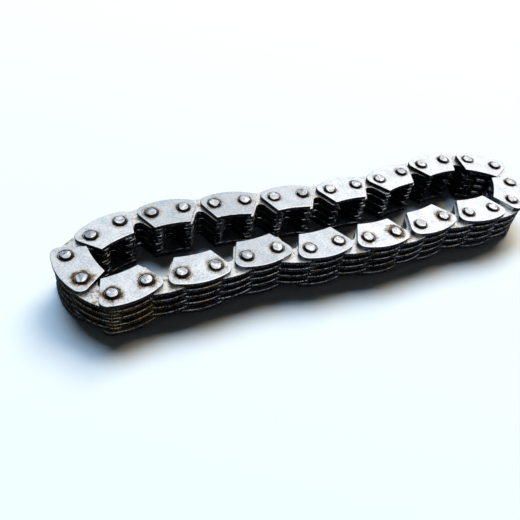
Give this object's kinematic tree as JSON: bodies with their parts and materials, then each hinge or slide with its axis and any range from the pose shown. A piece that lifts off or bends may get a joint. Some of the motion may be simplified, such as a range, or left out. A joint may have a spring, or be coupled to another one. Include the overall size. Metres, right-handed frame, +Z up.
{
  "type": "pump drive chain",
  "caption": "Endless silent chain with inverted teeth for a pump drive, laced from toothed links and guide plates on riveted pins, laid on its side in a narrow loop.",
  "frame": {"origin": "centre of the laid loop's bounding box, on the surface that the chain lies on", "axes": "+X along the length of the laid loop, +Y across it, +Z up along the pins"},
  "size_m": [0.1038, 0.0266, 0.0094],
  "materials": {
    "plate_steel": "satin, tumbled",
    "pin_steel": "ground, bright ends",
    "link_steel": "satin, oily"
  },
  "bodies": {
    "guide_row_01": {"guide_row_plates_01": "plate_steel", "pins_01": "pin_steel"},
    "guide_row_02": {"guide_row_plates_02": "plate_steel", "pins_02": "pin_steel"},
    "guide_row_03": {"guide_row_plates_03": "plate_steel", "pins_03": "pin_steel"},
    "guide_row_04": {"guide_row_plates_04": "plate_steel", "pins_04": "pin_steel"},
    "guide_row_05": {"guide_row_plates_05": "plate_steel", "pins_05": "pin_steel"},
    "guide_row_06": {"guide_row_plates_06": "plate_steel", "pins_06": "pin_steel"},
    "guide_row_07": {"guide_row_plates_07": "plate_steel", "pins_07": "pin_steel"},
    "guide_row_08": {"guide_row_plates_08": "plate_steel", "pins_08": "pin_steel"},
    "guide_row_09": {"guide_row_plates_09": "plate_steel", "pins_09": "pin_steel"},
    "guide_row_10": {"guide_row_plates_10": "plate_steel", "pins_10": "pin_steel"},
    "guide_row_11": {"guide_row_plates_11": "plate_steel", "pins_11": "pin_steel"},
    "guide_row_12": {"guide_row_plates_12": "plate_steel", "pins_12": "pin_steel"},
    "guide_row_13": {"guide_row_plates_13": "plate_steel", "pins_13": "pin_steel"},
    "guide_row_14": {"guide_row_plates_14": "plate_steel", "pins_14": "pin_steel"},
    "guide_row_15": {"guide_row_plates_15": "plate_steel", "pins_15": "pin_steel"},
    "guide_row_16": {"guide_row_plates_16": "plate_steel", "pins_16": "pin_steel"},
    "guide_row_17": {"guide_row_plates_17": "plate_steel", "pins_17": "pin_steel"},
    "inner_row_01": {"inner_row_links_01": "link_steel"},
    "inner_row_02": {"inner_row_links_02": "link_steel"},
    "inner_row_03": {"inner_row_links_03": "link_steel"},
    "inner_row_04": {"inner_row_links_04": "link_steel"},
    "inner_row_05": {"inner_row_links_05": "link_steel"},
    "inner_row_06": {"inner_row_links_06": "link_steel"},
    "inner_row_07": {"inner_row_links_07": "link_steel"},
    "inner_row_08": {"inner_row_links_08": "link_steel"},
    "inner_row_09": {"inner_row_links_09": "link_steel"},
    "inner_row_10": {"inner_row_links_10": "link_steel"},
    "inner_row_11": {"inner_row_links_11": "link_steel"},
    "inner_row_12": {"inner_row_links_12": "link_steel"},
    "inner_row_13": {"inner_row_links_13": "link_steel"},
    "inner_row_14": {"inner_row_links_14": "link_steel"},
    "inner_row_15": {"inner_row_links_15": "link_steel"},
    "inner_row_16": {"inner_row_links_16": "link_steel"},
    "inner_row_17": {"inner_row_links_17": "link_steel"}
  },
  "joints": [
    {"name": "pivot_08", "type": "hinge", "parent": "guide_row_04", "child": "inner_row_05", "pos_m": [0.0001, -0.00838, 0.0047], "axis": [0, 0, 1], "range_deg": [0, 20.51]},
    {"name": "pivot_09", "type": "hinge", "parent": "inner_row_05", "child": "guide_row_05", "pos_m": [0.00635, -0.00948, 0.0047], "axis": [0, 0, 1], "range_deg": [0, 4.98]},
    {"name": "pivot_10", "type": "hinge", "parent": "guide_row_05", "child": "inner_row_06", "pos_m": [0.01269, -0.00992, 0.0047], "axis": [0, 0, 1], "range_deg": [0, 4.33]},
    {"name": "pivot_11", "type": "hinge", "parent": "inner_row_06", "child": "guide_row_06", "pos_m": [0.01904, -0.0097, 0.0047], "axis": [0, 0, 1], "range_deg": [0, 6.67]},
    {"name": "pivot_12", "type": "hinge", "parent": "guide_row_06", "child": "inner_row_07", "pos_m": [0.02536, -0.00915, 0.0047], "axis": [0, 0, 1], "range_deg": [0, 20.99]},
    {"name": "pivot_13", "type": "hinge", "parent": "inner_row_07", "child": "guide_row_07", "pos_m": [0.03166, -0.00992, 0.0047], "axis": [0, 0, 1], "range_deg": [0, 6.99]},
    {"name": "pivot_14", "type": "hinge", "parent": "guide_row_07", "child": "inner_row_08", "pos_m": [0.038, -0.01036, 0.0047], "axis": [0, 0, 1], "range_deg": [0, 0.807]},
    {"name": "pivot_15", "type": "hinge", "parent": "inner_row_08", "child": "guide_row_08", "pos_m": [0.0443, -0.00959, 0.0047], "axis": [0, 0, 1], "range_deg": [-32.42, 0]},
    {"name": "pivot_16", "type": "hinge", "parent": "guide_row_08", "child": "inner_row_09", "pos_m": [0.04821, -0.00459, 0.0047], "axis": [0, 0, 1], "range_deg": [-18.53, 0]},
    {"name": "pivot_17", "type": "hinge", "parent": "inner_row_09", "child": "guide_row_09", "pos_m": [0.04898, 0.00172, 0.0047], "axis": [0, 0, 1], "range_deg": [-45.96, 0]},
    {"name": "pivot_18", "type": "hinge", "parent": "guide_row_09", "child": "inner_row_10", "pos_m": [0.04398, 0.00563, 0.0047], "axis": [0, 0, 1], "range_deg": [-13.4, 0]},
    {"name": "pivot_19", "type": "hinge", "parent": "inner_row_10", "child": "guide_row_10", "pos_m": [0.03785, 0.00727, 0.0047], "axis": [0, 0, 1], "range_deg": [-7.37, 0]},
    {"name": "pivot_20", "type": "hinge", "parent": "guide_row_10", "child": "inner_row_11", "pos_m": [0.0315, 0.00727, 0.0047], "axis": [0, 0, 1], "range_deg": [0, 0.913]},
    {"name": "pivot_21", "type": "hinge", "parent": "inner_row_11", "child": "guide_row_11", "pos_m": [0.02521, 0.00639, 0.0047], "axis": [0, 0, 1], "range_deg": [0, 13.71]},
    {"name": "pivot_22", "type": "hinge", "parent": "guide_row_11", "child": "inner_row_12", "pos_m": [0.01889, 0.00572, 0.0047], "axis": [0, 0, 1], "range_deg": [0, 16.93]},
    {"name": "pivot_23", "type": "hinge", "parent": "inner_row_12", "child": "guide_row_12", "pos_m": [0.01254, 0.00561, 0.0047], "axis": [0, 0, 1], "range_deg": [0, 14.7]},
    {"name": "pivot_24", "type": "hinge", "parent": "guide_row_12", "child": "inner_row_13", "pos_m": [0.0062, 0.00594, 0.0047], "axis": [0, 0, 1], "range_deg": [0, 11.67]},
    {"name": "pivot_07", "type": "hinge", "parent": "guide_row_04", "child": "inner_row_04", "pos_m": [-0.00625, -0.00827, 0.0047], "axis": [0, 0, 1], "range_deg": [0, 7.2]},
    {"name": "pivot_06", "type": "hinge", "parent": "inner_row_04", "child": "guide_row_03", "pos_m": [-0.01225, -0.0062, 0.0047], "axis": [0, 0, 1], "range_deg": [-30.63, 0]},
    {"name": "pivot_05", "type": "hinge", "parent": "guide_row_03", "child": "inner_row_03", "pos_m": [-0.0186, -0.00631, 0.0047], "axis": [0, 0, 1], "range_deg": [-11.45, 0]},
    {"name": "pivot_04", "type": "hinge", "parent": "inner_row_03", "child": "guide_row_02", "pos_m": [-0.02494, -0.00664, 0.0047], "axis": [0, 0, 1], "range_deg": [-3.06, 0]},
    {"name": "pivot_03", "type": "hinge", "parent": "guide_row_02", "child": "inner_row_02", "pos_m": [-0.03128, -0.00631, 0.0047], "axis": [0, 0, 1], "range_deg": [-8.32, 0]},
    {"name": "pivot_02", "type": "hinge", "parent": "inner_row_02", "child": "guide_row_01", "pos_m": [-0.03762, -0.00598, 0.0047], "axis": [0, 0, 1], "range_deg": [-20.31, 0]},
    {"name": "pivot_01", "type": "hinge", "parent": "guide_row_01", "child": "inner_row_01", "pos_m": [-0.0439, -0.00697, 0.0047], "axis": [0, 0, 1], "range_deg": [0, 46.04]},
    {"name": "pivot_34", "type": "hinge", "parent": "inner_row_01", "child": "guide_row_17", "pos_m": [-0.04781, -0.00197, 0.0047], "axis": [0, 0, 1], "range_deg": [0, 13.12]},
    {"name": "loop_fold", "type": "hinge", "parent": "guide_row_17", "child": "inner_row_17", "pos_m": [-0.04918, 0.00423, 0.0047], "axis": [0, 0, 1], "range_deg": [0, 56.12]},
    {"name": "pivot_32", "type": "hinge", "parent": "inner_row_17", "child": "guide_row_16", "pos_m": [-0.04396, 0.00785, 0.0047], "axis": [0, 0, 1], "range_deg": [0, 5.09]},
    {"name": "pivot_31", "type": "hinge", "parent": "guide_row_16", "child": "inner_row_16", "pos_m": [-0.03796, 0.00992, 0.0047], "axis": [0, 0, 1], "range_deg": [0, 4.91]},
    {"name": "pivot_30", "type": "hinge", "parent": "inner_row_16", "child": "guide_row_15", "pos_m": [-0.03162, 0.01036, 0.0047], "axis": [0, 0, 1], "range_deg": [-2.56, 0]},
    {"name": "pivot_29", "type": "hinge", "parent": "guide_row_15", "child": "inner_row_15", "pos_m": [-0.02529, 0.00992, 0.0047], "axis": [0, 0, 1], "range_deg": [-9.23, 0]},
    {"name": "pivot_28", "type": "hinge", "parent": "inner_row_15", "child": "guide_row_14", "pos_m": [-0.01897, 0.00926, 0.0047], "axis": [0, 0, 1], "range_deg": [-8.04, 0]},
    {"name": "pivot_27", "type": "hinge", "parent": "guide_row_14", "child": "inner_row_14", "pos_m": [-0.0127, 0.00826, 0.0047], "axis": [0, 0, 1], "range_deg": [-11.4, 0]},
    {"name": "pivot_26", "type": "hinge", "parent": "inner_row_14", "child": "guide_row_13", "pos_m": [-0.00641, 0.00738, 0.0047], "axis": [0, 0, 1], "range_deg": [-9.68, 0]}
  ],
  "couplings": [
    {"joint": "pivot_08", "follows": "loop_fold", "ratio": 0.36538},
    {"joint": "pivot_09", "follows": "loop_fold", "ratio": 0.088669},
    {"joint": "pivot_10", "follows": "loop_fold", "ratio": 0.077235},
    {"joint": "pivot_11", "follows": "loop_fold", "ratio": 0.11876},
    {"joint": "pivot_12", "follows": "loop_fold", "ratio": 0.37404},
    {"joint": "pivot_13", "follows": "loop_fold", "ratio": 0.1246},
    {"joint": "pivot_14", "follows": "loop_fold", "ratio": 0.014371},
    {"joint": "pivot_15", "follows": "loop_fold", "ratio": -0.57763},
    {"joint": "pivot_16", "follows": "loop_fold", "ratio": -0.33025},
    {"joint": "pivot_17", "follows": "loop_fold", "ratio": -0.8189},
    {"joint": "pivot_18", "follows": "loop_fold", "ratio": -0.23883},
    {"joint": "pivot_19", "follows": "loop_fold", "ratio": -0.13139},
    {"joint": "pivot_20", "follows": "loop_fold", "ratio": 0.016258},
    {"joint": "pivot_21", "follows": "loop_fold", "ratio": 0.2442},
    {"joint": "pivot_22", "follows": "loop_fold", "ratio": 0.30165},
    {"joint": "pivot_23", "follows": "loop_fold", "ratio": 0.26192},
    {"joint": "pivot_24", "follows": "loop_fold", "ratio": 0.20789},
    {"joint": "pivot_07", "follows": "loop_fold", "ratio": 0.12836},
    {"joint": "pivot_06", "follows": "loop_fold", "ratio": -0.54579},
    {"joint": "pivot_05", "follows": "loop_fold", "ratio": -0.20402},
    {"joint": "pivot_04", "follows": "loop_fold", "ratio": -0.054558},
    {"joint": "pivot_03", "follows": "loop_fold", "ratio": -0.14828},
    {"joint": "pivot_02", "follows": "loop_fold", "ratio": -0.36185},
    {"joint": "pivot_01", "follows": "loop_fold", "ratio": 0.82037},
    {"joint": "pivot_34", "follows": "loop_fold", "ratio": 0.2337},
    {"joint": "pivot_32", "follows": "loop_fold", "ratio": 0.090734},
    {"joint": "pivot_31", "follows": "loop_fold", "ratio": 0.087388},
    {"joint": "pivot_30", "follows": "loop_fold", "ratio": -0.045664},
    {"joint": "pivot_29", "follows": "loop_fold", "ratio": -0.16442},
    {"joint": "pivot_28", "follows": "loop_fold", "ratio": -0.14322},
    {"joint": "pivot_27", "follows": "loop_fold", "ratio": -0.20322},
    {"joint": "pivot_26", "follows": "loop_fold", "ratio": -0.17246}
  ]
}
